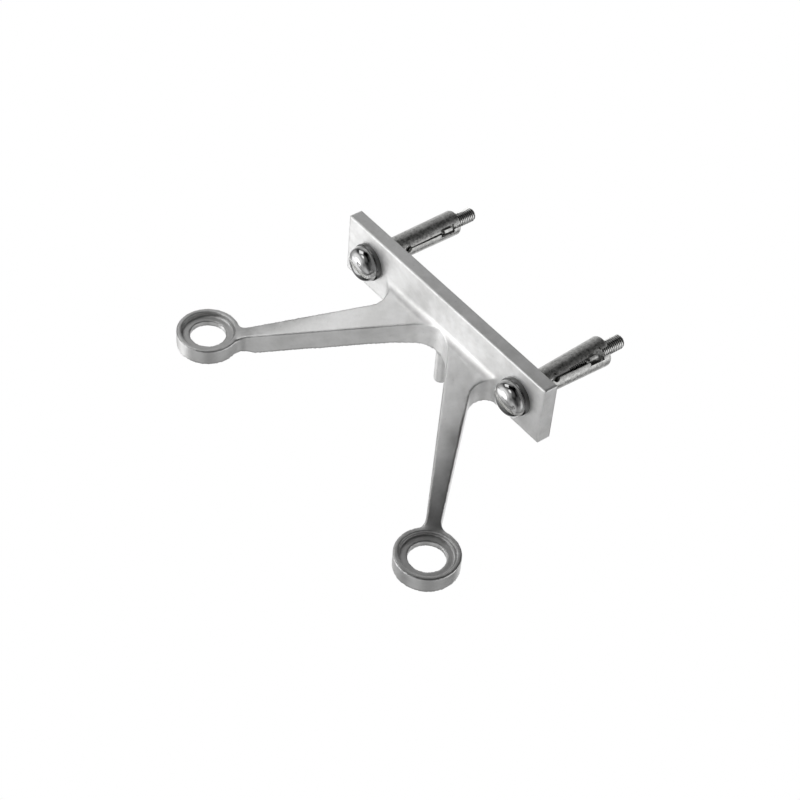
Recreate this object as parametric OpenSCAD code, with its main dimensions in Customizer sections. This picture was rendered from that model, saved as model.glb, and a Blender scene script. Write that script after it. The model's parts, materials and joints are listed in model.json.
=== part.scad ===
// Two-arm glass spider fitting with a wall plate, held by two slotted dome-head shell anchors.
// Millimetres. The origin is the centre of the plate's wall face: +X along the plate,
// -Y out of the wall towards the glass, +Z up. The arms fall away from the plate to two
// level rings that take the glass bolts.

/* [Wall plate] */
// Length of the plate
plate_length = 200; // [184:2:260]
// Height of the plate
plate_height = 46; // [42:1:70]
// Thickness of the plate
plate_thickness = 10; // [8:0.5:16]
// Distance between the two anchor screws
screw_spacing = 152; // [146:1:170]

/* [Arms] */
// Where an arm's inner edge would meet the plate's front, measured from the middle
arm_root_inner = 9.3; // [8:0.1:11]
// Where an arm's outer edge would meet the plate's front, measured from the middle
arm_root_outer = 37; // [32:0.5:39]
// Width of the arm at its ring
arm_neck_width = 7.5; // [6:0.5:12]
// Height of the arm's top on the plate's front, measured down from the plate's middle
arm_top_drop = 4.4; // [2:0.2:8]
// Fall of the arm's top and underside for each millimetre out from the wall
arm_fall = 0.43; // [0.40:0.01:0.45]
// Upright depth of the arm
arm_depth = 15.7; // [13:0.1:18]
// How far out the underside turns up to the plate's lower edge
haunch_reach = 18; // [10:0.5:24]
// Fillet between the plate's front and an arm's outer edge
root_fillet = 10; // [6:0.5:12]
// Fillet between the plate's front and the arm's top
top_fillet = 8; // [4:0.5:10]
// Web left in front of the plate in the middle of the V
notch_land = 0.8; // [0.5:0.1:2]
// Fillet between an arm and its ring
neck_fillet = 8; // [5:0.5:12]

/* [Rings] */
// Sideways distance of each ring from the middle of the plate
ring_x = 118.5; // [112:0.5:125]
// Distance of each ring from the wall
ring_reach = 111; // [106:0.5:116]
// Outer diameter of a ring
ring_od = 42.4; // [40:0.2:50]
// Height of a ring
ring_height = 11.6; // [10:0.2:14]
// Bore that the glass bolt passes through
ring_bore = 24.2; // [16:0.2:28]
// Diameter of the seats above and below the land
ring_seat_od = 35.4; // [31:0.2:38]
// Depth of the upper seat
upper_seat_depth = 3.4; // [1.5:0.1:4]
// Depth of the lower seat
lower_seat_depth = 3.8; // [1.5:0.1:4]
// Drop of the ring's middle below the middle of the plate
ring_drop = 48.7; // [46:0.1:51]

/* [Peg] */
// Diameter of the peg under the plate
peg_d = 10; // [6:0.5:10]
// Length of the peg below the plate
peg_length = 28; // [10:0.5:40]

/* [Anchor screws] */
// Thread diameter of the screw
screw_d = 10; // [8:0.5:10]
// Reach of the screw behind the wall face
screw_reach = 78; // [76:0.5:100]
// Diameter of the dome head
head_d = 24.8; // [20:0.2:26]
// Height of the dome above its rim
dome_height = 10; // [6:0.5:11]
// Height of the straight rim under the dome
head_rim = 1; // [0.6:0.1:3]
// Width of the screwdriver slot
slot_width = 2.7; // [1.5:0.1:4]
// Depth of the slot below the dome's top
slot_depth = 3.6; // [2:0.1:5]
// Turn of both slots from level
slot_turn = 15; // [0:1:90]
// Outer diameter of the washer
washer_d = 26.2; // [25:0.2:32]
// Thickness of the washer
washer_thickness = 3.5; // [2:0.1:5]
// Hole in the plate for the screw
plate_hole_d = 12; // [11:0.5:14]

/* [Anchor shells] */
// Outer diameter of the closed shells
shell_od = 16.4; // [15.8:0.1:18]
// Thickness of a shell's wall at its front end
shell_wall = 1.6; // [1.2:0.1:1.8]
// Thickness of a shell's wall along the waist that the cone nut wedges apart
waist_wall = 2.4; // [2:0.1:2.5]
// Thickness of a shell's wall at its tail
tail_wall = 1.2; // [1:0.1:1.6]
// Distance from the wall face to the shells' tail
shell_tail = 62; // [58:1:74]
// Gap between the two shells when they are closed
seam_gap = 0.6; // [0.4:0.1:1.2]
// Round opening in the seam near the collar
seam_eye_d = 5; // [3:0.5:6]
// Distance of that opening from the wall face
seam_eye_reach = 17; // [14:0.5:24]
// Spread of each left shell, in degrees
left_spread = 0.6; // [0:0.1:2.4]
// Spread of each right shell, in degrees
right_spread = 2.2; // [0:0.1:2.4]
// Turn of the left anchor's seam about its screw
left_seam_turn = 21; // [0:1:90]
// Turn of the right anchor's seam about its screw
right_seam_turn = 42; // [0:1:90]
// Length of the collar's flange along the screw
collar_flange = 1.6; // [1:0.1:3]
// Length of the collar's nose inside the shells
collar_nose = 7.4; // [4:0.1:10]

/* [Cone nuts] */
// Length of the cone nut, which ends level with the tails of the closed shells
nut_length = 14; // [12:0.5:16]
// Travel that takes the shells from closed to fully spread
nut_travel = 4; // [3:0.5:5]
// Length of the lugs that keep the nut from turning
lug_length = 6.7; // [5:0.1:8]
// Width of the lugs
lug_width = 2.4; // [1.5:0.1:3]

/* [Hidden] */
$fn = 96;

// Clearances and small edges
running_clearance = 0.05;
hole_clearance = 0.3;
seat_gap = 0.1;
shell_clearance = 0.3;
edge_chamfer = 0.6;
tail_chamfer = 1.2;
peg_chamfer = 1.2;
peg_root = 1;
overlap = 1;
full_spread = 2.5;
seam_clearance = 0.5;
nose_room = 3;
window_gap = 1.3;
lug_setback = 1.2;
lug_embed = 0.2;

// Plate and arms
plate_front = -plate_thickness;
plate_middle = -plate_thickness / 2;
plate_underside = -plate_height / 2;
ring_centre = [ring_x, -ring_reach];
ring_r = ring_od / 2;
ring_top = -ring_drop + ring_height / 2;
ring_underside = -ring_drop - ring_height / 2;
inner_root = [arm_root_inner, plate_front];
outer_root = [arm_root_outer, plate_front];
arm_across = left_of((inner_root + outer_root) / 2, ring_centre);
inner_neck = ring_centre - arm_across * arm_neck_width / 2;
outer_neck = ring_centre + arm_across * arm_neck_width / 2;

root_across = left_of(outer_root, outer_neck);
root_centre = outer_root + root_fillet * [(1 + root_across[1]) / root_across[0], -1];
root_foot = root_centre - root_across * root_fillet;

// Screws, shells and nuts
screw_r = screw_d / 2;
head_r = head_d / 2;
shell_r = shell_od / 2;
shell_bore_r = shell_r - shell_wall;
shell_front = collar_flange + shell_clearance;
head_seat = plate_front - washer_thickness - seat_gap;
dome_r = (head_r * head_r + dome_height * dome_height) / (2 * dome_height);
nut_bore_r = screw_r + running_clearance;
waist_bore_r = shell_r - waist_wall;
tail_bore_r = shell_r - tail_wall;
waist_front = collar_flange + collar_nose + nose_room;
ramp_end = shell_tail - nut_travel;
ramp_front = ramp_end - nut_travel;
nut_front_r = waist_bore_r - shell_clearance;
nut_r = tail_bore_r - shell_clearance;
nut_half_width = waist_bore_r - seam_clearance;
nut_front = shell_tail - nut_length;
lug_front = nut_front + lug_setback;
lug_root = nut_half_width - lug_embed;
lug_tip = shell_r - shell_clearance;
window_front = lug_front - nut_travel - shell_clearance;
window_length = lug_length + nut_travel + 2 * shell_clearance;
window_depth = lug_width / 2 + window_gap;

// The unit direction from a to b
function direction(a, b) = (b - a) / norm(b - a);
// The unit direction a quarter turn to the left of it
function left_of(a, b) = let (u = direction(a, b)) [-u[1], u[0]];
// The point at the level y on the line through a and b
function at_y(a, b, y) = a + (b - a) * (y - a[1]) / (b[1] - a[1]);
// Height of the arm's top, and of its underside, at a reach y
function arm_top(y) = -arm_top_drop + arm_fall * (y - plate_front);
function arm_underside(y) = arm_top(y) - arm_depth;
// The reach at which the underside comes down to the height z
function underside_reach(z) = plate_front + (z - arm_underside(plate_front)) / arm_fall;

// A turned piece along +Y, from its (radius, y) outline
module turned() {
    rotate([-90, 0, 0])
        rotate_extrude()
            children();
}

// Puts a piece drawn about its own screw, with the seam along X, in its place.
// side is -1 for the left anchor and 1 for the right one
module at_anchor(side, turn = 0) {
    translate([side * screw_spacing / 2, 0, 0])
        rotate([0, -turn, 0])
            children();
}

// The fillet between two edges: what lies inside the corner points and outside the circle
module fillet(corner, centre, r) {
    difference() {
        polygon(corner);
        translate(centre)
            circle(r);
    }
}

// Plan of the fillet between the plate's front and the arm's outer edge
module root_corner() {
    fillet([outer_root + [-overlap, overlap], [root_centre[0], plate_front + overlap],
            root_centre, root_foot, root_foot - root_across * overlap], root_centre,
           root_fillet);
}

// Plan of half of the web that rounds the bottom of the V
module notch_corner() {
    u = direction(inner_root, inner_neck);
    n = -left_of(inner_root, inner_neck);
    r = (notch_land * u[0] - arm_root_inner * u[1]) / (1 - u[0]);
    centre = [0, plate_front - notch_land - r];
    foot = centre - n * r;
    fillet([[0, plate_front + overlap], inner_root + [overlap, overlap], foot - n * overlap,
            foot, centre], centre, r);
}

// Plan of the fillet between the ring and the arm edge a-b, whose outward side is n
module neck_corner(a, n) {
    off = (a - ring_centre) * n + neck_fillet;
    run = sqrt(pow(ring_r + neck_fillet, 2) - off * off);
    back = [-abs(n[1]), abs(n[0])];
    centre = ring_centre + n * off + back * run;
    fillet([ring_centre, centre - n * neck_fillet, centre], centre, neck_fillet);
}

// Plan of the right arm, from the plate to the middle of its ring
module arm_plan() {
    polygon([[0, plate_middle], [0, plate_front], inner_root, inner_neck, outer_neck,
             outer_root, at_y(outer_root, outer_neck, plate_middle)]);
    root_corner();
    notch_corner();
    neck_corner(outer_root, left_of(outer_root, outer_neck));
    neck_corner(inner_root, -left_of(inner_root, inner_neck));
}

// Side outline of the arms, as (reach, height)
module arm_side() {
    slope = norm([1, arm_fall]);
    n = [-arm_fall, 1] / slope;
    haunch = plate_front - haunch_reach;
    knee = underside_reach(ring_underside);
    polygon([[plate_middle, arm_top(plate_middle)], [-ring_reach, arm_top(-ring_reach)],
             [-ring_reach, ring_underside], [knee, ring_underside],
             [haunch, arm_underside(haunch)], [plate_front, plate_underside],
             [plate_middle, plate_underside]]);
    centre = [plate_front, arm_top(plate_front)] + top_fillet * [-1, slope - arm_fall];
    foot = centre - n * top_fillet;
    fillet([[plate_front + overlap, arm_top(plate_front) - overlap],
            [plate_front + overlap, centre[1]], centre, foot, foot - n * overlap],
           centre, top_fillet);
}

// What lies above the right arm's twisted top: the top follows the plate at the root and
// turns level across the arm, at the height of the ring's top, where it meets the ring
module above_twist() {
    neck = at_y(inner_root, inner_neck, plate_front + (ring_top + arm_top_drop) / arm_fall);
    start = [neck[0], neck[1], ring_top];
    across = [arm_across[0], arm_across[1], 0];
    rise = [root_foot[0], root_foot[1], arm_top(root_foot[1])] - start;
    level = rise - across * (rise * across);
    along = level / norm(level);
    up = cross(across, along);
    reach = 2 * ring_reach;
    intersection() {
        multmatrix([for (i = [0:2]) [across[i], along[i], up[i], start[i]]])
            translate([-reach, -reach, 0])
                cube(2 * reach);
        translate([0, root_foot[1] - reach, ring_underside])
            cube(reach);
    }
}

// Both arms: their plan cut from the sloping side outline
module arms() {
    for (side = [0, 1])
        mirror([side, 0])
            difference() {
                intersection() {
                    translate([0, 0, ring_underside])
                        linear_extrude(height = top_fillet - ring_underside)
                            arm_plan();
                    rotate([90, 0, 90])
                        linear_extrude(height = ring_x)
                            arm_side();
                }
                above_twist();
            }
}

// A ring's bore with a wider seat above and below its land
module ring_hole() {
    translate([0, 0, ring_underside - overlap])
        cylinder(d = ring_bore, h = ring_height + 2 * overlap);
    translate([0, 0, ring_top - upper_seat_depth])
        cylinder(d = ring_seat_od, h = ring_height);
    translate([0, 0, ring_underside + lower_seat_depth - ring_height])
        cylinder(d = ring_seat_od, h = ring_height);
}

// The casting: plate, two arms with their rings, and the peg under the plate
module spider_casting() {
    color("silver")
        difference() {
            union() {
                translate([-plate_length / 2, plate_front, plate_underside])
                    cube([plate_length, plate_thickness, plate_height]);
                arms();
                for (side = [-1, 1])
                    translate([side * ring_x, -ring_reach, ring_underside])
                        cylinder(r = ring_r, h = ring_height);
                peg();
            }
            for (side = [-1, 1]) {
                translate([side * ring_x, -ring_reach, 0])
                    ring_hole();
                at_anchor(side)
                    translate([0, overlap, 0])
                        rotate([90, 0, 0])
                            cylinder(d = plate_hole_d, h = plate_thickness + 2 * overlap);
            }
        }
}

// Round peg that stands down from the middle of the plate's lower edge, with a root that
// widens along the plate
module peg() {
    translate([0, plate_middle, plate_underside - peg_length]) {
        cylinder(d1 = peg_d - 2 * peg_chamfer, d2 = peg_d, h = peg_chamfer);
        translate([0, 0, peg_chamfer])
            cylinder(d = peg_d, h = peg_length - peg_chamfer + overlap);
    }
    intersection() {
        translate([0, plate_middle, plate_underside - peg_root])
            cylinder(d1 = peg_d, d2 = peg_d + 2 * (peg_root + overlap),
                     h = peg_root + overlap);
        translate([-peg_d, plate_front, plate_underside - peg_root])
            cube([2 * peg_d, plate_thickness, 2 * peg_root]);
    }
}

// Outline of a dome-head screw, as (radius, y)
module screw_outline() {
    rim = head_seat - head_rim;
    polygon([[0, rim], [head_r, rim], [head_r, head_seat], [screw_r, head_seat],
             [screw_r, screw_reach - edge_chamfer], [screw_r - edge_chamfer, screw_reach],
             [0, screw_reach]]);
    intersection() {
        translate([0, rim - dome_height + dome_r])
            circle(dome_r);
        translate([0, rim - dome_height])
            square([head_r, dome_height]);
    }
}

// Screw with a slotted dome head and a shank that reaches through the cone nut
module screw(side) {
    top = head_seat - head_rim - dome_height;
    color("gainsboro")
        at_anchor(side, -slot_turn)
            difference() {
                turned()
                    screw_outline();
                translate([-head_d, top - slot_depth, -slot_width / 2])
                    cube([2 * head_d, 2 * slot_depth, slot_width]);
            }
}

// Flat washer with a chamfered outer edge
module washer(side) {
    bore = screw_r + hole_clearance;
    face = plate_front - washer_thickness;
    color("lightgray")
        at_anchor(side)
            turned()
                polygon([[bore, plate_front], [washer_d / 2, plate_front],
                         [washer_d / 2, face + edge_chamfer],
                         [washer_d / 2 - edge_chamfer, face], [bore, face]]);
}

// Flanged collar behind the plate, whose nose carries the front ends of the shells
module collar(side) {
    bore = screw_r + hole_clearance;
    nose = shell_bore_r - hole_clearance;
    end = collar_flange + collar_nose;
    color("darkgray")
        at_anchor(side)
            turned()
                polygon([[bore, 0], [shell_r, 0], [shell_r, collar_flange],
                         [nose, collar_flange], [nose, end - edge_chamfer],
                         [nose - edge_chamfer, end], [bore, end]]);
}

// One closed half shell above the seam, with its half eyes and its half windows
module half_shell() {
    difference() {
        turned()
            polygon([[shell_bore_r, shell_front], [shell_r, shell_front],
                     [shell_r, shell_tail - tail_chamfer],
                     [shell_r - edge_chamfer, shell_tail], [tail_bore_r, shell_tail],
                     [tail_bore_r, ramp_end], [waist_bore_r, ramp_front],
                     [waist_bore_r, waist_front], [shell_bore_r, waist_front]]);
        translate([-shell_od, 0, seam_gap / 2 - shell_od])
            cube([2 * shell_od, 2 * shell_tail, shell_od]);
        translate([0, seam_eye_reach, 0])
            rotate([0, 90, 0])
                cylinder(d = seam_eye_d, h = 2 * shell_od, center = true);
        translate([-shell_od, window_front, -window_depth])
            cube([2 * shell_od, window_length, 2 * window_depth]);
    }
}

// Half shell spread about the front edge where it bears on the collar's flange.
// half is 1 for the upper shell and -1 for the lower one
module shell(side, half, turn, spread) {
    color(half > 0 ? "dimgray" : "darkgray")
        at_anchor(side, turn)
            mirror([0, 0, half > 0 ? 0 : 1])
                translate([0, shell_front, shell_r])
                    rotate([spread, 0, 0])
                        translate([0, -shell_front, -shell_r])
                            half_shell();
}

// Outline of the cone nut's round body, as (radius, y)
module nut_outline() {
    polygon([[nut_bore_r, nut_front], [nut_front_r, nut_front], [nut_front_r, ramp_front],
             [nut_r, ramp_end], [nut_r, shell_tail - edge_chamfer],
             [nut_r - edge_chamfer, shell_tail], [nut_bore_r, shell_tail]]);
}

// Cone nut that the screw draws towards the plate between the shells, with a lug in
// each seam's window. It lies drawn in by the travel that goes with the shells' spread
module cone_nut(side, turn, spread) {
    drawn = nut_travel * spread / full_spread;
    color("gray")
        at_anchor(side, turn)
            translate([0, -drawn, 0]) {
                intersection() {
                    turned()
                        nut_outline();
                    translate([-nut_half_width, nut_front, -nut_r])
                        cube([2 * nut_half_width, nut_length, 2 * nut_r]);
                }
                for (lug = [0, 1])
                    mirror([lug, 0, 0])
                        translate([lug_root, lug_front, -lug_width / 2])
                            cube([lug_tip - lug_root, lug_length, lug_width]);
            }
}

spider_casting();
screw(-1);  // left_screw
screw(1);  // right_screw
washer(-1);  // left_washer
washer(1);  // right_washer
collar(-1);  // left_collar
collar(1);  // right_collar
shell(-1, 1, left_seam_turn, left_spread);  // left_upper_shell
shell(-1, -1, left_seam_turn, left_spread);  // left_lower_shell
shell(1, 1, right_seam_turn, right_spread);  // right_upper_shell
shell(1, -1, right_seam_turn, right_spread);  // right_lower_shell
cone_nut(-1, left_seam_turn, left_spread);  // left_cone_nut
cone_nut(1, right_seam_turn, right_spread);  // right_cone_nut
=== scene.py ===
"""Looks for the glass spider fitting: the satin casting, its polished screws and washers,
and the bright zinc anchors. Lengths in the code are metres, as in the frame."""

import json
import math

import bmesh
import bpy
from bpy.props import FloatProperty, FloatVectorProperty, IntProperty, PointerProperty
from mathutils import Matrix, Vector
from mathutils.geometry import intersect_point_line

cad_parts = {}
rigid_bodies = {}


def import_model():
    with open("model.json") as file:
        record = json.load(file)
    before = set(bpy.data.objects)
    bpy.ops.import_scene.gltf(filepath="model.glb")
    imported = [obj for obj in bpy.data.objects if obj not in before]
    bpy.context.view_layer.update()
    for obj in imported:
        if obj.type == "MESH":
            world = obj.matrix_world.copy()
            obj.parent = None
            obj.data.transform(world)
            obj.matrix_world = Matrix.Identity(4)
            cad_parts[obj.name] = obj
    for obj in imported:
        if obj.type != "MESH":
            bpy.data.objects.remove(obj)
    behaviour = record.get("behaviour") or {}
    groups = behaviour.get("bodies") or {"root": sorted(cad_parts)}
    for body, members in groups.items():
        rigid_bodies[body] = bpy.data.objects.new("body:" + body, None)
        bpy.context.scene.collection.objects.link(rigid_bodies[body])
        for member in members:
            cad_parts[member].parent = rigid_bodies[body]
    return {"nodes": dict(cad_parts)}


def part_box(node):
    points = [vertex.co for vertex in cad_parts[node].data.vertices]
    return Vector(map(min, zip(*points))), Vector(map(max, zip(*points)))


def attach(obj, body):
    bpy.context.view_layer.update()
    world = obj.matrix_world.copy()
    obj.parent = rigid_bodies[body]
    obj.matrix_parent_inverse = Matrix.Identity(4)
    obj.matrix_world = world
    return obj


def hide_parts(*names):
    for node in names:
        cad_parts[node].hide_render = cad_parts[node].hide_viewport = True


bl_info = {
    "name": "Glass Spider Fitting",
    "version": (1, 0, 0),
    "blender": (4, 5, 0),
    "location": "View3D > Sidebar > Spider",
    "description": "Dresses a two-arm glass spider fitting and its shell anchors",
    "category": "Add Mesh",
}

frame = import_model()

MM = 0.001
SIDES = ("left", "right")
ALONG_SCREW = Vector((0, 1, 0))

# Points nearer than this are one point: in new pieces, and in copied surfaces and threads
MERGE, COPY_MERGE = 1e-6, 2e-6
# How far from flat two joined faces of a copied surface may be, cast or pressed
FLAT_CAST, FLAT_PRESSED = math.radians(0.6), math.radians(0.3)
# Rounding of the edges of the washers and of the slots, and of the screw head's rim
TURNED_EDGE, RIM_EDGE = 0.22 * MM, 0.25 * MM
# How sharply the slot's walls meet the dome and the floor, at least
SLOT_RIM = math.radians(35)
# Faces around a collar, and rings of faces up a dome
COLLAR_FACES, DOME_RINGS = 72, 30

# The creases along the arms' tops: the least length of one, the angles between which it
# folds, how far from it the surface is eased, and how many times
CREASE_LENGTH, CREASE_FOLD = 60 * MM, (math.radians(2), math.radians(60))
CREASE_REACH, CREASE_TURNS = 16 * MM, 400
# Least z of the normal of a face that looks up
UPWARD = 0.6

# The thread's form, in pitches: its depth, a flank's length and the crest's length
THREAD_DEPTH, THREAD_FLANK, THREAD_CREST = 0.6134, 0.3125, 0.125
# How fast the thread runs out towards the shank, and its end's radius beside its root's
RUNOUT_SLOPE, END_SHARE = 0.6, 0.97

# The casting's zones by y, for its finishes and its painted shade: where each one begins
# and where it is full
SATIN_ARMS = (-18 * MM, -45 * MM)
MACHINED_RINGS = (-85 * MM, -100 * MM)
WALL_FACE = (-0.9 * MM, -0.4 * MM)
# Colours of small areas: the casting's pits; the thread painted bright as a painted
# highlight, with painted shade in its roots; the slot painted near white as a painted
# highlight;
# painted shade that darkens the washers; and white is the room
PIT, PAINTED_THREAD_HIGHLIGHT, PAINTED_ROOT_SHADE = (0.28, 0.28, 0.27, 1), (0.86, 0.86, 0.85, 1), (0.06, 0.06, 0.06, 1)
PAINTED_SLOT_HIGHLIGHT, PAINTED_SHADE, WHITE = (0.93, 0.93, 0.92, 1), (0, 0, 0, 1), (1, 1, 1, 1)


def screw_axis(side):
    """The x of one anchor's axis, from the middle of its screw."""
    low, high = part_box(side + "_screw")
    return (low[0] + high[0]) / 2


# ---------------------------------------------------------------- settings

def length(name, description, millimetres):
    """A length that a user would change, in metres."""
    return FloatProperty(name=name, description=description, default=millimetres * MM,
                         min=0, unit="LENGTH", precision=5)


def colour(name, description, value):
    """A metal's colour."""
    return FloatVectorProperty(name=name, description=description, default=value, size=3,
                               min=0, max=1, subtype="COLOR")


def share(name, description, value):
    """A number from 0 to 1."""
    return FloatProperty(name=name, description=description, default=value, min=0, max=1,
                         subtype="FACTOR")


class CastingSettings(bpy.types.PropertyGroup):
    """Edges and finish of the casting."""
    detail: length("Detail", "Size of the faces of the cast surface", 0.8)
    softness: IntProperty(name="Softness", description="Rounds of smoothing of the edges",
                          default=1, min=0, max=10)
    tint: colour("Stainless", "Colour of the blasted stainless steel", (0.90, 0.90, 0.89))
    roughness: share("Roughness", "How matt the blasted surface is", 0.40)
    grain: length("Grain", "Size of the blasted surface's grain", 0.45)


class ScrewSettings(bpy.types.PropertyGroup):
    """Sizes and finish of the two slotted screws."""
    radius: length("Thread radius", "Outer radius of the thread", 5.0)
    pitch: length("Pitch", "Rise of the thread in one turn", 1.5)
    thread_start: length("Thread start", "Where the thread begins behind the wall face",
                         29.0)
    reach: length("Reach", "Where the screw ends behind the wall face", 78.0)
    head_radius: length("Head radius", "Radius of the dome head", 12.4)
    head_seat: length("Head seat", "How far the head's seat lies before the wall face",
                      13.6)
    head_rim: length("Head rim", "Height of the straight rim under the dome", 1.0)
    dome_height: length("Dome height", "Height of the dome above its rim", 7.4)
    dome_fullness: FloatProperty(name="Dome fullness", default=2.5, min=2.0, max=4.0,
                                 description="How square the dome's shoulder is, "
                                             "with 2 as an ellipse")
    slot_width: length("Slot width", "Width of the straight slot", 2.7)
    slot_depth: length("Slot depth", "Depth of the straight slot at the dome's top", 2.6)
    slot_turn: FloatProperty(name="Slot turn", description="Turn of the slot from level",
                             default=math.radians(15), subtype="ANGLE")
    around: IntProperty(name="Segments", description="Faces around the screw", default=96,
                        min=24, max=192)
    tint: colour("Polished steel", "Colour of the polished head and washer",
                 (0.50, 0.50, 0.50))


class WasherSettings(bpy.types.PropertyGroup):
    """Sizes of the washers under the heads."""
    radius: length("Radius", "Outer radius of the washer", 13.1)
    bore: length("Bore radius", "Radius of the washer's hole", 5.3)
    back: length("Back", "How far the washer's back lies before the wall face", 10.0)
    thickness: length("Thickness", "Thickness of the washer", 3.5)
    chamfer: length("Chamfer", "Width of the chamfer on the front edge", 0.6)


class AnchorSettings(bpy.types.PropertyGroup):
    """Sizes and finish of the collars, half shells and cone nuts."""
    collar_radius: length("Collar radius", "Outer radius of the collar's flange", 8.2)
    nose_radius: length("Nose radius", "Radius of the nose that carries the shells", 6.3)
    bore: length("Bore radius", "Radius of the collar's hole", 5.3)
    flange: length("Flange", "Thickness of the collar's flange", 1.6)
    nose: length("Nose", "Length of the collar's nose", 7.4)
    chamfer: length("Chamfer", "Width of the chamfers", 0.6)
    edge_round: length("Edge round", "Width of the rounded pressed edges", 0.18)
    tint: colour("Zinc plate", "Colour of the bright zinc plate", (0.49, 0.49, 0.48))


class StageSettings(bpy.types.PropertyGroup):
    """The floor, the camera and the studio's light."""
    floor_drop: length("Floor drop", "How far the floor lies under the wall plate's middle",
                       400.0)
    floor_size: length("Floor size", "Half the width of the floor", 6000.0)
    focal: FloatProperty(name="Lens", description="Focal length in millimetres",
                         default=89.92, unit="CAMERA")
    eye: FloatVectorProperty(name="Camera", description="Place of the camera", size=3,
                             default=(0.69179, -0.65179, 0.88369), subtype="TRANSLATION")


# ---------------------------------------------------------------- shaders

class Signal:
    """A shader value: an expression on it adds the Math nodes that work it out."""

    def __init__(self, shade, socket):
        self.shade = shade
        self.socket = socket

    def maths(self, operation, *others, clamp=False):
        """One Math node on this value and others."""
        return self.shade.node("ShaderNodeMath", {"operation": operation,
                                                  "use_clamp": clamp},
                               dict(enumerate((self, *others))))

    def __add__(self, other):
        return self.maths("ADD", other)

    def __radd__(self, other):
        return self.maths("ADD", other)

    def __mul__(self, other):
        return self.maths("MULTIPLY", other)

    def __rmul__(self, other):
        return self.maths("MULTIPLY", other)

    def __sub__(self, other):
        return self.maths("SUBTRACT", other)

    def __rsub__(self, other):
        return self.shade.node("ShaderNodeMath", {"operation": "SUBTRACT"},
                               {0: other, 1: self})

    def __pow__(self, other):
        return self.maths("POWER", other)

    def clamp(self):
        """The value held between 0 and 1."""
        return self.maths("ADD", 0.0, clamp=True)


class Shade:
    """One node tree under construction, of a material or of the world."""

    def __init__(self, owner):
        owner.use_nodes = True
        self.tree = owner.node_tree
        self.tree.nodes.clear()

    def node(self, kind, settings=None, inputs=None, output=0):
        """Adds a node, sets it up, then its sockets, and gives one of its outputs."""
        made = self.tree.nodes.new(kind)
        for name, value in (settings or {}).items():
            setattr(made, name, value)
        for name, value in (inputs or {}).items():
            if isinstance(value, Signal):
                self.tree.links.new(value.socket, made.inputs[name])
            else:
                made.inputs[name].default_value = value
        return Signal(self, made.outputs[output]) if made.outputs else None

    def noise(self, where, scale, detail=2.0, roughness=0.5, distortion=0.0):
        """A noise pattern from 0 to 1, with its scale in waves per metre."""
        return self.node("ShaderNodeTexNoise", None,
                         {"Vector": where, "Scale": scale, "Detail": detail,
                          "Roughness": roughness, "Distortion": distortion}, "Fac")

    def spread(self, value, low, high):
        """0 where the value is low and 1 where it is high, clamped."""
        return self.node("ShaderNodeMapRange", {"clamp": True},
                         {"Value": value, "From Min": low, "From Max": high}, "Result")

    def blend(self, factor, first, second, blend_type="MIX"):
        """Two colours mixed, by the Mix node's colour sockets."""
        return self.node("ShaderNodeMix", {"data_type": "RGBA", "blend_type": blend_type},
                         {"Factor": factor, 6: first, 7: second}, 2)

    def scaled(self, where, x, y, z):
        """Coordinates with a scale for each axis."""
        return self.node("ShaderNodeMapping", None, {"Vector": where, "Scale": (x, y, z)})

    def grey(self, level):
        """A grey colour from a value."""
        return self.node("ShaderNodeCombineColor", None,
                         {"Red": level, "Green": level, "Blue": level})

    def split(self, where, axis):
        """One axis of the coordinates."""
        return self.node("ShaderNodeSeparateXYZ", None, {"Vector": where}, axis)

    def objects(self):
        """The place on the piece, which is also its place in the frame at rest."""
        return self.node("ShaderNodeTexCoord", None, None, "Object")

    def bump(self, height, strength, distance):
        """A normal from a height pattern."""
        return self.node("ShaderNodeBump", None,
                         {"Strength": strength, "Distance": distance, "Height": height},
                         "Normal")

    def surface(self, colour, roughness, normal, metallic=1.0):
        """Closes a metal's tree with its shader and output."""
        shader = self.node("ShaderNodeBsdfPrincipled", None,
                           {"Base Color": colour, "Roughness": roughness,
                            "Normal": normal, "Metallic": metallic}, "BSDF")
        self.node("ShaderNodeOutputMaterial", None, {"Surface": shader})


def metal(name, tint):
    """A new material in a metal's tint, and its empty node tree."""
    material = bpy.data.materials.new(name)
    material.diffuse_color = (*tint, 1)
    return material, Shade(material)


def shades_of(tint, dark, light):
    """A darker and a lighter shade of a tint, as node colours."""
    return [(*(min(1.0, level * share_of) for level in tint), 1)
            for share_of in (dark, light)]


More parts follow.
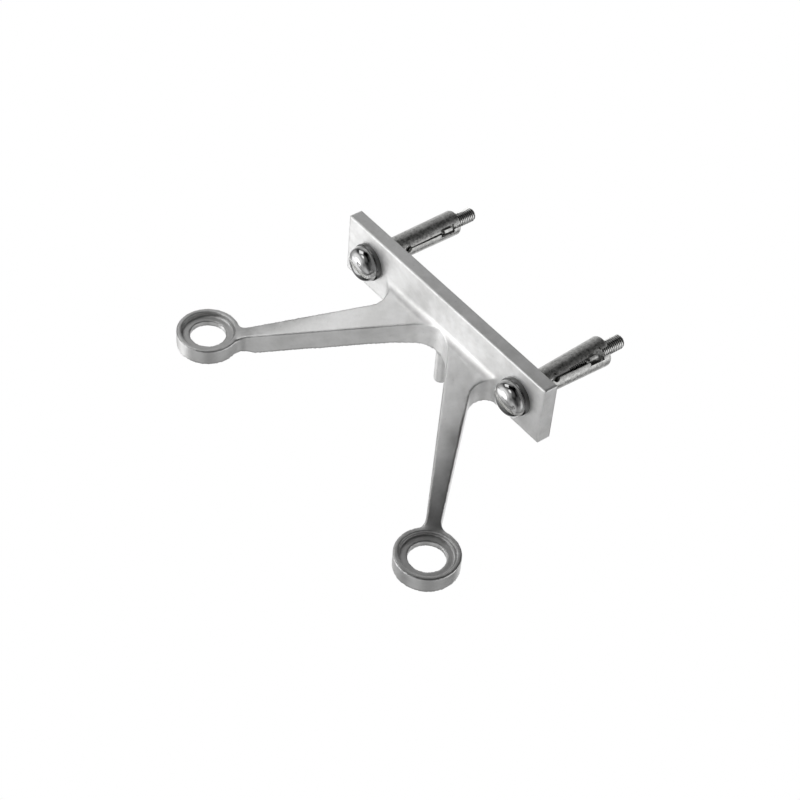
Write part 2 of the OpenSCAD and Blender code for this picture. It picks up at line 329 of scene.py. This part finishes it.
def cast_stainless(settings):
    """Blasted stainless with cloudy patches and faint pits: brushed to a satin along the
    arms and machined on the rings, both painted darker as painted shade, the rings also by
    their darker machined finish; the wall face is painted dark as painted shade."""
    material, shade = metal("cast_stainless", settings.tint)
    here = shade.objects()
    grain = shade.noise(here, 1 / settings.grain, 3.0, 0.6)
    cloud = shade.noise(here, 42.0, 4.0, 0.55)
    blotch = shade.noise(here, 160.0, 3.0, 0.6)
    brushed = shade.noise(shade.scaled(here, 90.0, 900.0, 900.0), 1.0, 2.0, 0.6)
    pit = shade.spread(shade.noise(here, 620.0, 1.0, 0.4), 0.30, 0.22)
    tone = shade.spread(cloud * 0.6 + blotch * 0.4, 0.34, 0.66)
    reach = shade.split(here, "Y")
    satin_and_shaded = shade.spread(reach, *SATIN_ARMS)
    machined_and_shaded = shade.spread(reach, *MACHINED_RINGS)
    wall = shade.spread(reach, *WALL_FACE)
    colours = shade.blend(tone, *shades_of(settings.tint, 0.84, 1.12))
    # Painted shade: darker along the arms, on the rings and on the wall face; on the rings
    # it is also their darker machined finish
    finish_and_painted_shade = 1 - satin_and_shaded * 0.18 - machined_and_shaded * 0.12 - wall * 0.30
    colours = shade.blend(1.0, colours, shade.grey(finish_and_painted_shade), "MULTIPLY")
    colours = shade.blend(pit * 0.12, colours, PIT)
    rough = (settings.roughness - 0.07 + tone * 0.05 + grain * 0.10 + pit * 0.1).clamp()
    relief = grain * 0.7 + brushed * 0.25 + cloud * 0.8 - pit * 0.35
    shade.surface(colours, rough, shade.bump(relief, 0.35, 0.12 * MM),
                  metallic=(satin_and_shaded + wall) * 0.4 + 0.6)
    return material


def polished_steel(settings):
    """Turned and polished steel with faint smears and fine turning marks: the washers
    painted darker as painted shade, the milled slot painted near white as a painted
    highlight, and the thread painted bright as a painted highlight with painted shade in
    its roots."""
    material, shade = metal("polished_steel", settings.tint)
    here = shade.objects()
    side_on, depth, upright = (shade.split(here, axis) for axis in "XYZ")
    smear = shade.noise(here, 130.0, 4.0, 0.6, 0.4)
    scratch = shade.noise(shade.scaled(here, 1500.0, 500.0, 1500.0), 1.0, 3.0, 0.6)
    tone = shade.spread(smear, 0.35, 0.7)
    colours = shade.blend(tone, *shades_of(settings.tint, 0.93, 1.0))

    seat = -settings.head_seat
    # Painted shade: the washers, and the shank behind the head's seat, darkened towards
    # black
    washer = shade.spread(depth, seat, seat + 0.05 * MM)
    colours = shade.blend(washer * 0.6, colours, PAINTED_SHADE)

    across = side_on.maths("ABSOLUTE") - abs(screw_axis(SIDES[0]))
    from_axis = (across * across + upright * upright) ** 0.5
    behind = shade.spread(depth, 0.0, 1 * MM)
    root = shade.spread(from_axis, settings.radius - 0.35 * MM,
                        settings.radius - 0.75 * MM)
    # Painted highlight: the thread painted far brighter than the head; painted shade: its
    # roots painted near black
    colours = shade.blend(behind, colours, PAINTED_THREAD_HIGHLIGHT)
    colours = shade.blend(root * behind, colours, PAINTED_ROOT_SHADE)

    aside = across * side_on.maths("SIGN")
    turn, half = settings.slot_turn, settings.slot_width / 2
    from_slot = (upright * math.cos(turn) + aside * math.sin(turn)).maths("ABSOLUTE")
    milled_slot_and_highlight = (shade.spread(from_slot, half + 0.05 * MM, half)
              * (1 - shade.spread(depth, seat - 1.5 * MM, seat)))
    # Painted highlight: the slot's walls and floor painted near white; the roughness adds
    # the milled finish
    colours = shade.blend(milled_slot_and_highlight, colours, PAINTED_SLOT_HIGHLIGHT)
    rough = (0.07 + tone * 0.05 + scratch * 0.05 + behind * 0.12 + milled_slot_and_highlight * 0.3).clamp()
    shade.surface(colours, rough, shade.bump(scratch + smear * 0.5, 0.12, 0.05 * MM))
    return material


def zinc_plate(settings):
    """Bright zinc plate on pressed steel, with a mottled bloom."""
    material, shade = metal("zinc_plate", settings.tint)
    here = shade.objects()
    bloom = shade.node("ShaderNodeTexVoronoi", {"feature": "SMOOTH_F1"},
                       {"Vector": here, "Scale": 520.0, "Smoothness": 0.6}, "Distance")
    mottle = shade.noise(here, 380.0, 4.0, 0.65, 0.3)
    streak = shade.noise(shade.scaled(here, 700.0, 60.0, 700.0), 1.0, 3.0, 0.6)
    grain = shade.noise(here, 1500.0, 2.0, 0.7)
    tone = shade.spread(mottle * 0.4 + bloom * 0.3 + streak * 0.2 + grain * 0.6,
                        0.56, 0.92)
    colours = shade.blend(tone, *shades_of(settings.tint, 0.5, 1.5))
    rough = (0.33 + tone * 0.12 + streak * 0.06).clamp()
    relief = mottle * 0.5 + streak * 0.3 + bloom * 0.3 + grain * 0.5
    shade.surface(colours, rough, shade.bump(relief, 0.35, 0.12 * MM))
    return material


# ---------------------------------------------------------------- mesh tools

def placed(name, data):
    """A new object in the scene, at the origin."""
    made = bpy.data.objects.new(name, data)
    bpy.context.scene.collection.objects.link(made)
    return made


def modify(body, kind, settings):
    """Adds one modifier to an object."""
    modifier = body.modifiers.new(kind.title(), kind)
    for key, value in settings.items():
        setattr(modifier, key, value)


def new_piece(name, mesh, material, body, slot, *nodes, modifiers=(), sharp=32):
    """Puts a mesh in the scene as a piece that stands for the given CAD nodes."""
    piece = placed(name, mesh)
    mesh.materials.clear()
    mesh.materials.append(material)
    for kind, settings in modifiers:
        modify(piece, kind, settings)
    mesh.shade_smooth()
    mesh.set_sharp_from_angle(angle=math.radians(sharp))
    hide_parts(*nodes)
    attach(piece, body)
    return piece


def to_mesh(name, bm):
    """A mesh of the finished bmesh, with its doubles merged and its faces outwards."""
    bmesh.ops.remove_doubles(bm, verts=bm.verts, dist=MERGE)
    bmesh.ops.recalc_face_normals(bm, faces=bm.faces)
    mesh = bpy.data.meshes.new(name)
    bm.to_mesh(mesh)
    bm.free()
    return mesh


def merged_copy(node, flat):
    """A bmesh of a CAD node's surface, with its loose triangles joined into faces where
    they lie flat to within an angle."""
    bm = bmesh.new()
    bm.from_mesh(frame["nodes"][node].data)
    bmesh.ops.remove_doubles(bm, verts=bm.verts, dist=COPY_MERGE)
    bmesh.ops.dissolve_limit(bm, angle_limit=flat, verts=bm.verts, edges=bm.edges,
                             use_dissolve_boundaries=False, delimit=set())
    return bm


def modified(name, mesh, kind, settings):
    """The mesh as one modifier leaves it."""
    body = placed(name, mesh)
    modify(body, kind, settings)
    bpy.context.view_layer.update()
    ready = body.evaluated_get(bpy.context.evaluated_depsgraph_get())
    result = bpy.data.meshes.new_from_object(ready)
    bpy.data.objects.remove(body, do_unlink=True)
    return result


def top_creases(bm):
    """The shallow creases across the arms' tops, as pairs of end points."""
    found = []
    for edge in bm.edges:
        if edge.is_manifold and edge.calc_length() > CREASE_LENGTH:
            upward = all(face.normal.z > UPWARD for face in edge.link_faces)
            if upward and CREASE_FOLD[0] < edge.calc_face_angle() < CREASE_FOLD[1]:
                found.append(tuple(v.co.copy() for v in edge.verts))
    bm.free()
    return found


def near_creases(bm, creases, reach):
    """The vertices of upward faces near the creases, away from the faces' borders."""
    found = []
    for vert in bm.verts:
        if vert.normal.z < UPWARD or any(e.other_vert(vert).normal.z < UPWARD
                                         for e in vert.link_edges):
            continue
        for start, end in creases:
            along = intersect_point_line(vert.co, start, end)[1]
            near = start.lerp(end, min(1.0, max(0.0, along)))
            if (vert.co - near).length < reach:
                found.append(vert)
                break
    return found


def turned(profile, around, centre):
    """A closed ring or disc: a closed outline of (radius, y) spun about the +Y axis."""
    bm = bmesh.new()
    corners = [bm.verts.new((centre + radius, y, 0)) for radius, y in profile]
    edges = [bm.edges.new(pair) for pair in zip(corners, corners[1:] + corners[:1])]
    bmesh.ops.spin(bm, geom=corners + edges, cent=(centre, 0, 0), axis=ALONG_SCREW,
                   angle=math.tau, steps=around, use_merge=True)
    return bm


def rounded(profile, size, steps=3):
    """The outline with each corner cut to a short curve."""
    out = []
    count = len(profile)
    for i, corner in enumerate(profile):
        point = Vector(corner)
        before, after = Vector(profile[i - 1]), Vector(profile[(i + 1) % count])
        cut = min(size, (before - point).length / 2.2, (after - point).length / 2.2)
        start = point + (before - point).normalized() * cut
        end = point + (after - point).normalized() * cut
        for step in range(steps + 1):
            t = step / steps
            curve = start * (1 - t) ** 2 + point * 2 * t * (1 - t) + end * t ** 2
            out.append(tuple(curve))
    return out


# ---------------------------------------------------------------- pieces

def build_casting(settings, material):
    """The casting with soft cast edges, from the frame's own surface."""
    creases = top_creases(merged_copy("spider_casting", FLAT_CAST))
    whole = to_mesh("casting_blank", merged_copy("spider_casting", 0.0))
    bm = bmesh.new()
    bm.from_mesh(modified("casting_surface", whole, "REMESH",
                          {"mode": "VOXEL", "voxel_size": settings.detail}))
    for verts, turns in ((near_creases(bm, creases, CREASE_REACH), CREASE_TURNS),
                         (bm.verts[:], settings.softness)):
        for _ in range(turns):
            bmesh.ops.smooth_vert(bm, verts=verts, factor=0.5, use_axis_x=True,
                                  use_axis_y=True, use_axis_z=True)
    mesh = to_mesh("casting_surface", bm)
    return new_piece("casting_surface", mesh, material, "fitting", "cast_stainless",
                     "spider_casting", sharp=75)


def threaded_shank(settings, centre):
    """The screw's thread, from its run-out to its chamfered end, as an open tube."""
    radius, pitch = settings.radius, settings.pitch
    root = radius - THREAD_DEPTH * pitch
    turns = math.ceil((settings.reach - settings.thread_start) / pitch) + 2
    start = settings.thread_start - pitch
    flank, crest = THREAD_FLANK * pitch, THREAD_CREST * pitch
    outline = ((root, 0), (radius, flank), (radius, flank + crest),
               (root, 2 * flank + crest), (root, pitch))
    bm = bmesh.new()
    corners = [bm.verts.new((centre + r, start + y, 0)) for r, y in outline]
    edges = [bm.edges.new(pair) for pair in zip(corners, corners[1:])]
    bmesh.ops.spin(bm, geom=corners + edges, cent=(centre, 0, 0), axis=ALONG_SCREW,
                   dvec=(0, pitch / settings.around, 0), angle=math.tau,
                   steps=settings.around)
    one_turn = bm.verts[:] + bm.edges[:] + bm.faces[:]
    for turn in range(1, turns):
        made = bmesh.ops.duplicate(bm, geom=one_turn)["geom"]
        bmesh.ops.translate(bm, vec=(0, turn * pitch, 0),
                            verts=[g for g in made if isinstance(g, bmesh.types.BMVert)])
    bmesh.ops.remove_doubles(bm, verts=bm.verts, dist=COPY_MERGE)
    end = settings.reach
    for vert in bm.verts:
        offset = Vector((vert.co.x - centre, vert.co.z))
        r = offset.length
        past_start = max(0.0, vert.co.y - settings.thread_start - pitch)
        runout = radius - past_start * RUNOUT_SLOPE
        wanted = min(max(r, min(radius, runout)),
                     root * END_SHARE + max(0.0, end - vert.co.y))
        vert.co.x = centre + offset.x * wanted / r
        vert.co.z = offset.y * wanted / r
    for place, is_end in ((settings.thread_start, False), (end, True)):
        bmesh.ops.bisect_plane(bm, geom=bm.verts[:] + bm.edges[:] + bm.faces[:], dist=1e-7,
                               plane_co=(0, place, 0), plane_no=ALONG_SCREW,
                               clear_outer=is_end, clear_inner=not is_end)
    return bm


def rim_loop(bm, place):
    """The open edges that lie on the level y."""
    return [e for e in bm.edges if e.is_boundary
            and all(abs(v.co.y - place) < MERGE for v in e.verts)]


def grow(bm, loop, centre, radius, place):
    """Extrudes an open loop to a new radius and level, and gives the new loop."""
    made = bmesh.ops.extrude_edge_only(bm, edges=loop)["geom"]
    for vert in (g for g in made if isinstance(g, bmesh.types.BMVert)):
        offset = Vector((vert.co.x - centre, vert.co.z)).normalized() * radius
        vert.co = (centre + offset.x, place, offset.y)
    return [g for g in made if isinstance(g, bmesh.types.BMEdge) and g.is_boundary]


def screw_blank(side, settings, centre):
    """The screw before its slot is cut, in one skin from the tail to the dome's top."""
    bm = threaded_shank(settings, centre)
    bmesh.ops.edgeloop_fill(bm, edges=rim_loop(bm, settings.reach))
    loop = rim_loop(bm, settings.thread_start)
    seat = -settings.head_seat
    rim = seat - settings.head_rim
    head, height = settings.head_radius, settings.dome_height
    steps = [(settings.radius, settings.thread_start * 0.5), (settings.radius, seat),
             (head - RIM_EDGE, seat), (head - RIM_EDGE * 0.3, seat - RIM_EDGE * 0.3),
             (head, seat - RIM_EDGE), (head, rim + RIM_EDGE * 0.4)]
    power = 2 / settings.dome_fullness
    for i in range(1, DOME_RINGS):
        angle = math.pi / 2 * i / DOME_RINGS
        steps.append((head * math.cos(angle) ** power,
                      rim - height * math.sin(angle) ** power))
    for radius, place in steps:
        loop = grow(bm, loop, centre, radius, place)
    bmesh.ops.edgeloop_fill(bm, edges=loop)
    return to_mesh(side + "_screw_blank", bm)


def slot_cutter(settings, centre, top):
    """The block that cuts the slot, turned about the screw's axis."""
    bm = bmesh.new()
    bmesh.ops.create_cube(bm, size=1.0)
    bmesh.ops.scale(bm, verts=bm.verts, vec=(3 * settings.head_radius,
                                             2 * settings.slot_depth, settings.slot_width))
    bmesh.ops.rotate(bm, verts=bm.verts,
                     matrix=Matrix.Rotation(settings.slot_turn, 3, "Y"))
    bmesh.ops.translate(bm, verts=bm.verts, vec=(centre, top, 0))
    return to_mesh("slot", bm)


def build_screw(side, settings, material):
    """One screw: thread, plain shank, seat and slotted dome."""
    name, centre = side + "_screw_surface", screw_axis(side)
    top = -settings.head_seat - settings.head_rim - settings.dome_height
    bm = bmesh.new()
    bm.from_mesh(cut(name, screw_blank(side, settings, centre),
                     slot_cutter(settings, centre, top)))
    walls = [f for f in bm.faces
             if abs(f.calc_center_median().y - top) < 2 * settings.slot_depth
             and in_slot(f, settings, centre, top)]
    bm.edges.index_update()
    rims = {e for f in walls for e in f.edges if e.calc_face_angle(0) > SLOT_RIM}
    bmesh.ops.bevel(bm, geom=sorted(rims, key=lambda edge: edge.index),
                    offset=TURNED_EDGE, offset_type="OFFSET", affect="EDGES", segments=2,
                    profile=0.5, clamp_overlap=True, material=-1)
    return new_piece(name, to_mesh(name, bm), material, side + "_screw",
                     "polished_steel", side + "_screw")


def in_slot(face, settings, centre, top):
    """Whether a face is a wall or the floor of the slot."""
    turn = Matrix.Rotation(-settings.slot_turn, 3, "Y")
    middle = turn @ (face.calc_center_median() - Vector((centre, 0, 0)))
    normal = turn @ face.normal
    half, near, square = settings.slot_width / 2, 0.01 * MM, 0.99
    wall = abs(abs(middle.z) - half) < near and abs(normal.z) > square
    floor = abs(middle.y - top - settings.slot_depth) < near and abs(normal.y) > square
    return (wall or floor) and abs(middle.z) < settings.slot_width


def cut(name, mesh, tool):
    """The mesh with the tool's shape taken out of it."""
    knife = placed("knife", tool)
    result = modified(name, mesh, "BOOLEAN", {"object": knife, "operation": "DIFFERENCE",
                                              "solver": "EXACT"})
    bpy.data.objects.remove(knife, do_unlink=True)
    return in_order(name, result)


def in_order(name, mesh):
    """The same mesh with its points and faces sorted by place, because a boolean
    modifier numbers them differently from run to run."""
    spots = [tuple(round(c, 7) for c in v.co) for v in mesh.vertices]
    order = sorted(range(len(spots)), key=spots.__getitem__)
    number = {old: new for new, old in enumerate(order)}
    faces = []
    for polygon in mesh.polygons:
        loop = [number[i] for i in polygon.vertices]
        first = loop.index(min(loop))
        faces.append(loop[first:] + loop[:first])
    sorted_mesh = bpy.data.meshes.new(name)
    sorted_mesh.from_pydata([spots[i] for i in order], [], sorted(faces))
    return sorted_mesh


def build_washer(side, settings, screws, material):
    """One washer with a chamfered, softened edge."""
    face = -settings.back - settings.thickness
    outline = [(settings.bore, -settings.back), (settings.radius, -settings.back),
               (settings.radius, face + settings.chamfer),
               (settings.radius - settings.chamfer, face), (settings.bore, face)]
    mesh = to_mesh(side + "_washer_surface",
                   turned(rounded(outline, TURNED_EDGE), screws.around,
                          screw_axis(side)))
    return new_piece(side + "_washer_surface", mesh, material, "fitting",
                     "polished_steel", side + "_washer")


def build_collar(side, settings, material):
    """One flanged collar that the shells bear on."""
    end = settings.flange + settings.nose
    outline = [(settings.bore, 0), (settings.collar_radius, 0),
               (settings.collar_radius, settings.flange),
               (settings.nose_radius, settings.flange),
               (settings.nose_radius, end - settings.chamfer),
               (settings.nose_radius - settings.chamfer, end), (settings.bore, end)]
    mesh = to_mesh(side + "_collar_surface",
                   turned(rounded(outline, settings.edge_round), COLLAR_FACES,
                          screw_axis(side)))
    return new_piece(side + "_collar_surface", mesh, material, "fitting", "zinc_plate",
                     side + "_collar")


def build_pressed(node, body, settings, material):
    """A shell or nut with small rounded edges, from the frame's own surface."""
    mesh = to_mesh(node + "_surface", merged_copy(node, FLAT_PRESSED))
    bevel = {"width": settings.edge_round, "segments": 2, "limit_method": "ANGLE",
             "angle_limit": math.radians(30), "use_clamp_overlap": True}
    return new_piece(node + "_surface", mesh, material, body, "zinc_plate", node,
                     modifiers=(("BEVEL", bevel),), sharp=35)


# ---------------------------------------------------------------- stage

CAMERA_FORWARD = Vector((-0.52629292, 0.46590194, -0.71130243))
CAMERA_UPWARD = Vector((-0.58967273, 0.40271457, 0.70007646))

# The studio: soft lamps as (azimuth from +X, elevation, strength), each one full within
# SOFT_FULL degrees of its direction and gone at SOFT_GONE
SOFT_FULL, SOFT_GONE = 3, 34
SOFT_LAMPS = (
    (-80, 48, 0.18), (40, 48, 0.11), (145, 38, 0.36),
    (-110, 20, 0.55), (-15, 20, 0.12), (15, 20, 0.06), (135, 20, 0.15), (165, 20, 0.07),
    (-150, -8, 0.60), (-125, -8, 0.95), (-90, -8, 0.21), (-60, -8, 0.12), (0, -8, 0.15),
    (30, -8, 0.87), (60, -8, 1.21), (120, -8, 0.21), (150, -8, 0.63), (180, -8, 0.12),
    (-140, -35, 0.24), (-75, -35, 0.69), (-42, -35, 0.18), (-9, -35, 0.37),
    (24, -35, 0.34), (89, -35, 0.03), (122, -35, 0.32), (155, -35, 0.75),
    (-140, -62, 0.07), (117, -62, 1.10),
)
# The windows that the polished heads mirror: azimuth and elevation, the degrees within
# which each is full and past which it is gone, and strength
WINDOWS = ((-121, -18, 8, 14, 2.0), (-104, 42, 6, 13, 1.4))
# Soft boxes near the fitting: azimuth, elevation, distance, size and brightness
BOX_AIM = Vector((-0.03, -0.04, 0.0))
SOFT_BOXES = ((-160, 48, 0.55, 0.30, 1.59), (-140, -35, 0.55, 0.30, 1.00))


def build_floor(settings):
    """A pale floor, well below the fitting."""
    bm = bmesh.new()
    bmesh.ops.create_grid(bm, x_segments=2, y_segments=2, size=settings.floor_size)
    bmesh.ops.translate(bm, vec=(0, 0, -settings.floor_drop), verts=bm.verts)
    mesh = bpy.data.meshes.new("floor")
    bm.to_mesh(mesh)
    bm.free()
    floor = placed("floor", mesh)
    material = bpy.data.materials.new("pale_floor")
    shade = Shade(material)
    glow = shade.node("ShaderNodeEmission", None, {"Color": WHITE, "Strength": 1.0},
                      "Emission")
    shade.node("ShaderNodeOutputMaterial", None, {"Surface": glow})
    mesh.materials.append(material)
    floor.visible_glossy = False
    floor.visible_diffuse = False
    floor.visible_shadow = False


def build_camera(settings):
    """The camera, looking down on the fitting from its right front."""
    right = CAMERA_FORWARD.cross(CAMERA_UPWARD).normalized()
    upward = right.cross(CAMERA_FORWARD)
    turn = Matrix((right, upward, -CAMERA_FORWARD)).transposed().to_4x4()
    data = bpy.data.cameras.new("camera")
    data.sensor_width = 36.0
    data.lens = settings.focal
    data.clip_start = 0.01
    data.clip_end = 100.0
    camera = placed("camera", data)
    camera.matrix_world = Matrix.Translation(settings.eye) @ turn
    bpy.context.scene.camera = camera


def heading(azimuth, elevation):
    """The unit vector of a direction in degrees."""
    azimuth, elevation = math.radians(azimuth), math.radians(elevation)
    level = math.cos(elevation)
    return Vector((level * math.cos(azimuth), level * math.sin(azimuth),
                   math.sin(elevation)))


def build_boxes():
    """The soft boxes, each set to its brightness whatever its size."""
    for i, (azimuth, elevation, distance, size, brightness) in enumerate(SOFT_BOXES):
        data = bpy.data.lights.new(f"soft_box_{i}", "AREA")
        data.shape = "RECTANGLE"
        data.size = data.size_y = size
        data.energy = brightness * math.pi * size * size
        way = heading(azimuth, elevation)
        facing = (-way).to_track_quat("-Z", "Y").to_matrix().to_4x4()
        box = placed(f"soft_box_{i}", data)
        box.matrix_world = Matrix.Translation(BOX_AIM + way * distance) @ facing


def build_world():
    """A white room for the camera, and a studio of soft lamps for the metal."""
    world = bpy.data.worlds.new("studio")
    bpy.context.scene.world = world
    shade = Shade(world)
    way = shade.node("ShaderNodeTexCoord", None, None, "Generated")

    def lamp(azimuth, elevation, full, gone, strength):
        """The light from one round lamp with a soft border."""
        turned_to = shade.node("ShaderNodeVectorMath", {"operation": "DOT_PRODUCT"},
                               {0: way, 1: heading(azimuth, elevation)}, "Value")
        return shade.node("ShaderNodeMapRange",
                          {"clamp": True, "interpolation_type": "SMOOTHSTEP"},
                          {"Value": turned_to, "From Min": math.cos(math.radians(gone)),
                           "From Max": math.cos(math.radians(full)), "To Min": 0.0,
                           "To Max": strength}, "Result")

    level = lamp(*WINDOWS[0]) + lamp(*WINDOWS[1])
    for azimuth, elevation, strength in SOFT_LAMPS:
        level = level + lamp(azimuth, elevation, SOFT_FULL, SOFT_GONE, strength)
    studio, room = (shade.node("ShaderNodeBackground", None,
                               {"Color": WHITE, "Strength": strength}, "Background")
                    for strength in (level, 1.0))
    seen = shade.node("ShaderNodeLightPath", None, None, "Is Camera Ray")
    both = shade.node("ShaderNodeMixShader", None, {0: seen, 1: studio, 2: room})
    shade.node("ShaderNodeOutputWorld", None, {"Surface": both})


# ---------------------------------------------------------------- operators

class FittingOperator(bpy.types.Operator):
    """Base of the operators: each one builds its pieces or raises an error."""
    bl_options = {"REGISTER"}


class SPIDER_OT_casting(FittingOperator):
    """Dress the casting: plate, arms, rings and peg"""
    bl_idname = "spider.casting"
    bl_label = "Casting"

    def execute(self, context):
        settings = context.scene.spider_casting
        build_casting(settings, cast_stainless(settings))
        return {"FINISHED"}


class SPIDER_OT_screws(FittingOperator):
    """Build both slotted screws and their washers"""
    bl_idname = "spider.screws"
    bl_label = "Screws and washers"

    def execute(self, context):
        screws, washers = context.scene.spider_screws, context.scene.spider_washers
        material = polished_steel(screws)
        for side in SIDES:
            build_screw(side, screws, material)
            build_washer(side, washers, screws, material)
        return {"FINISHED"}


class SPIDER_OT_anchors(FittingOperator):
    """Build the collars, half shells and cone nuts of both anchors"""
    bl_idname = "spider.anchors"
    bl_label = "Anchors"

    def execute(self, context):
        settings = context.scene.spider_anchors
        material = zinc_plate(settings)
        for side in SIDES:
            build_collar(side, settings, material)
            for part in ("upper_shell", "lower_shell"):
                node = side + "_" + part
                build_pressed(node, node, settings, material)
            build_pressed(side + "_cone_nut", side + "_nut", settings, material)
        return {"FINISHED"}


class SPIDER_OT_stage(FittingOperator):
    """Build the floor, the camera and the light"""
    bl_idname = "spider.stage"
    bl_label = "Stage"

    def execute(self, context):
        settings = context.scene.spider_stage
        build_floor(settings)
        build_camera(settings)
        build_world()
        build_boxes()
        context.scene.view_settings.view_transform = "Standard"
        return {"FINISHED"}


class SPIDER_PT_panel(bpy.types.Panel):
    """Lists the fitting's builders in the sidebar"""
    bl_idname = "SPIDER_PT_panel"
    bl_label = "Glass spider fitting"
    bl_space_type = "VIEW_3D"
    bl_region_type = "UI"
    bl_category = "Spider"

    def draw(self, context):
        for operator, keys in BUILDERS:
            self.layout.operator(operator.bl_idname)
            for key in keys:
                for name in SETTINGS[key].__annotations__:
                    self.layout.prop(getattr(context.scene, key), name)


SETTINGS = {"spider_casting": CastingSettings, "spider_screws": ScrewSettings,
            "spider_washers": WasherSettings, "spider_anchors": AnchorSettings,
            "spider_stage": StageSettings}
BUILDERS = ((SPIDER_OT_casting, ("spider_casting",)),
            (SPIDER_OT_screws, ("spider_screws", "spider_washers")),
            (SPIDER_OT_anchors, ("spider_anchors",)),
            (SPIDER_OT_stage, ("spider_stage",)))
CLASSES = (*SETTINGS.values(), *(operator for operator, keys in BUILDERS),
           SPIDER_PT_panel)


def register():
    """Registers the classes and hangs the settings on the scene."""
    for cls in CLASSES:
        bpy.utils.register_class(cls)
    for name, group in SETTINGS.items():
        setattr(bpy.types.Scene, name, PointerProperty(type=group))


def unregister():
    """Takes away what register adds."""
    for name in SETTINGS:
        delattr(bpy.types.Scene, name)
    for cls in reversed(CLASSES):
        bpy.utils.unregister_class(cls)


def main():
    """Registers the add-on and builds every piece."""
    register()
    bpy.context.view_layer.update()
    bpy.ops.spider.casting()
    bpy.ops.spider.screws()
    bpy.ops.spider.anchors()
    bpy.ops.spider.stage()


if __name__ == "__main__":
    main()
